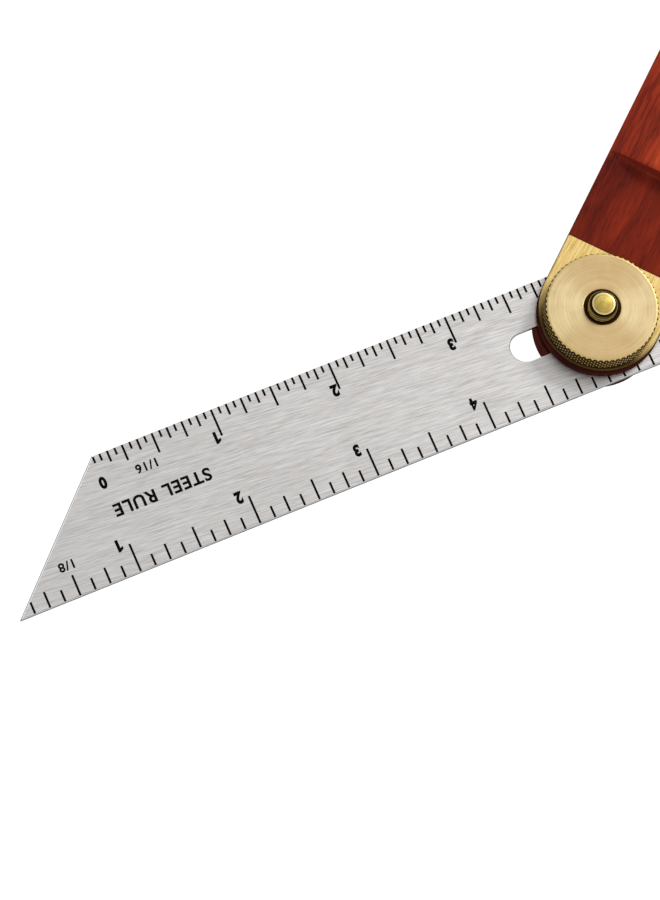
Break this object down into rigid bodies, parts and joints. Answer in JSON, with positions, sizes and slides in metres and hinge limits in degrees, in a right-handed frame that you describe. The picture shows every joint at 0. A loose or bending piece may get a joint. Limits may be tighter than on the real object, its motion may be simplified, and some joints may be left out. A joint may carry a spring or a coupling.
{
  "type": "sliding bevel",
  "caption": "Sliding bevel: a slotted steel rule blade with a 45 degree end, clamped by a knurled brass nut in a hardwood stock with brass bolsters.",
  "frame": {"origin": "where the pivot axis leaves the flat head of the clamp screw, on the back of the tool", "axes": "+Z along the pivot axis from the screw's head to the knurled nut; +X from the pivot along the stock to its butt; +Y across the stock. The blade's tip is set 139.25 degrees anticlockwise from +X."},
  "size_m": [0.2353, 0.1301, 0.0208],
  "materials": {
    "rosewood": "oiled and lightly varnished",
    "bolster_brass": "brushed along the stock",
    "nut_brass": "turned face, diamond knurled rim",
    "screw_brass": "turned",
    "blade_steel": "stainless, brushed lengthwise",
    "scale_marking": "black filled graduations and figures"
  },
  "bodies": {
    "handle": {"handle_stock": "rosewood", "front_bolster": "bolster_brass", "rear_bolster": "bolster_brass", "clamp_screw": "screw_brass"},
    "swivel": {"front_friction_washer": "screw_brass", "rear_friction_washer": "screw_brass"},
    "blade": {"blade": "blade_steel"},
    "nut_lift": {"nut_washer": "screw_brass"},
    "nut": {"knurled_nut": "nut_brass"}
  },
  "joints": [
    {"name": "blade_swing", "type": "hinge", "parent": "handle", "child": "swivel", "pos_m": [0, 0, 0.0098], "axis": [0, 0, 1], "range_deg": [-126, 207]},
    {"name": "blade_slide", "type": "slide", "parent": "swivel", "child": "blade", "axis": [-0.7576, 0.6528, 0], "range_m": [-0.0159, 0.06]},
    {"name": "nut_travel", "type": "slide", "parent": "handle", "child": "nut_lift", "axis": [0, 0, 1], "range_m": [0, 0.002]},
    {"name": "nut_turn", "type": "hinge", "parent": "nut_lift", "child": "nut", "pos_m": [0, 0, 0.0153], "axis": [0, 0, 1], "range_deg": [0, 720]}
  ],
  "couplings": [
    {"joint": "nut_turn", "follows": "nut_travel", "rad_per_m": 6283.2}
  ]
}
